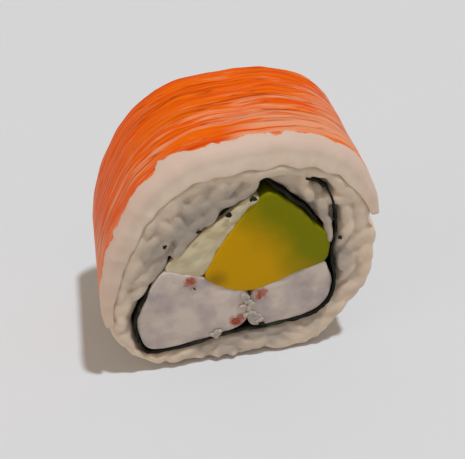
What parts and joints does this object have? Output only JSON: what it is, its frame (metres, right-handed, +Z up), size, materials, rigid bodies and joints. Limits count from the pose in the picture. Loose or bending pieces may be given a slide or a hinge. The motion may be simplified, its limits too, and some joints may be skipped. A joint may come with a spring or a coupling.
{
  "type": "uramaki roll",
  "caption": "Cut piece of an inside-out sushi roll: a sheet of orange surimi over rice, a nori spiral, and avocado, soft cheese and prawn inside.",
  "frame": {"origin": "middle of the footprint, on the flat underside of the rice", "axes": "+X across the cut face, to the viewer's right when the shown face is seen from the front; +Y along the roll, away from the shown face; +Z up"},
  "size_m": [0.0491, 0.0271, 0.0456],
  "materials": {
    "surimi": "moist surimi sheet: orange fibrous skin outside, ivory flesh at the cut edges",
    "rice": "moist cooked short-grain rice, semi-gloss",
    "nori": "dark dried seaweed sheet, slightly damp",
    "avocado": "smooth ripe avocado, cut face with a soft sheen",
    "cream_cheese": "soft white cheese, smeared, satin",
    "prawn": "cooked prawn, translucent white with small orange-red marks"
  },
  "bodies": {
    "root": {"surimi_topping": "surimi", "rice": "rice", "nori": "nori", "avocado": "avocado", "cream_cheese": "cream_cheese", "prawn_left": "prawn", "prawn_right": "prawn"}
  },
  "joints": []
}
